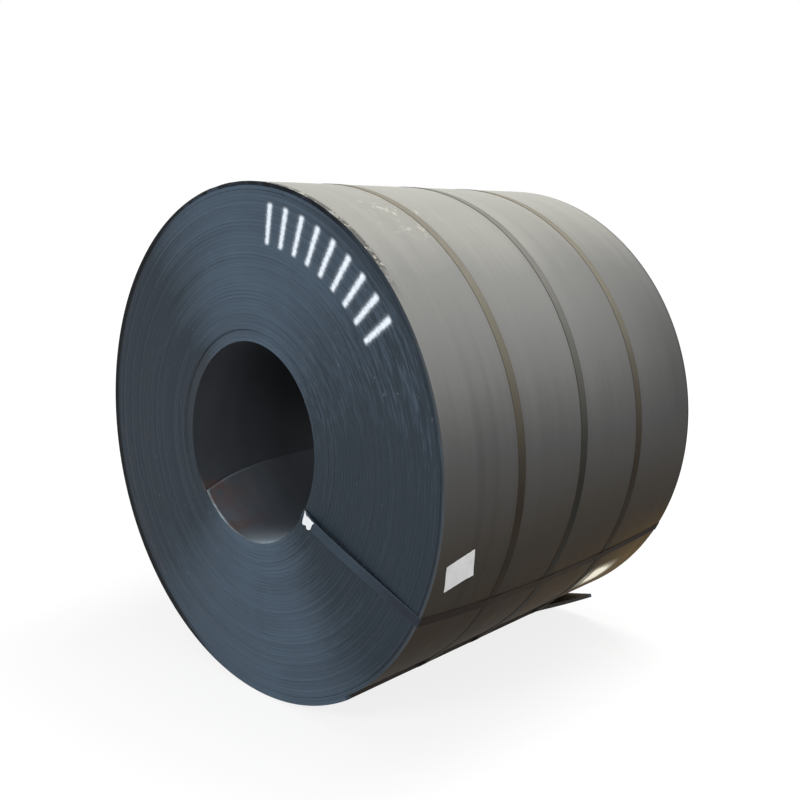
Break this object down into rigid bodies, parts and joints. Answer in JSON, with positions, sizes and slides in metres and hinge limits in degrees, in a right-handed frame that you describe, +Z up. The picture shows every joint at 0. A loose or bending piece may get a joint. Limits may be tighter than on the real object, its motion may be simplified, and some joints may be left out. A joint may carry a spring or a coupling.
{
  "type": "hot-rolled steel coil",
  "caption": "Wide hot-rolled steel strip wound into a coil with a through eye, lying on its side and held by ring straps and one strap through the eye.",
  "frame": {"origin": "on the floor below the middle of the whole coil's box", "axes": "+Z up, +Y along the coil's axis from its front end to its back end, +X to the right seen from the front end"},
  "size_m": [1.5922, 1.2716, 1.5974],
  "materials": {
    "mill_steel": "hot-rolled mill scale, grey brown and half glossy on the strip's faces, dark blue grey on its cut edges",
    "strapping": "dark olive brown steel strapping with a little rust along its edges",
    "white_paper": "plain white matt paper"
  },
  "bodies": {
    "root": {"coil": "mill_steel", "strap_front": "strapping", "seal_front": "strapping", "strap_middle": "strapping", "seal_middle": "strapping", "strap_back": "strapping", "seal_back": "strapping", "eye_strap": "strapping", "seal_eye": "strapping", "paper_label": "white_paper", "bore_tag": "white_paper"}
  },
  "joints": []
}
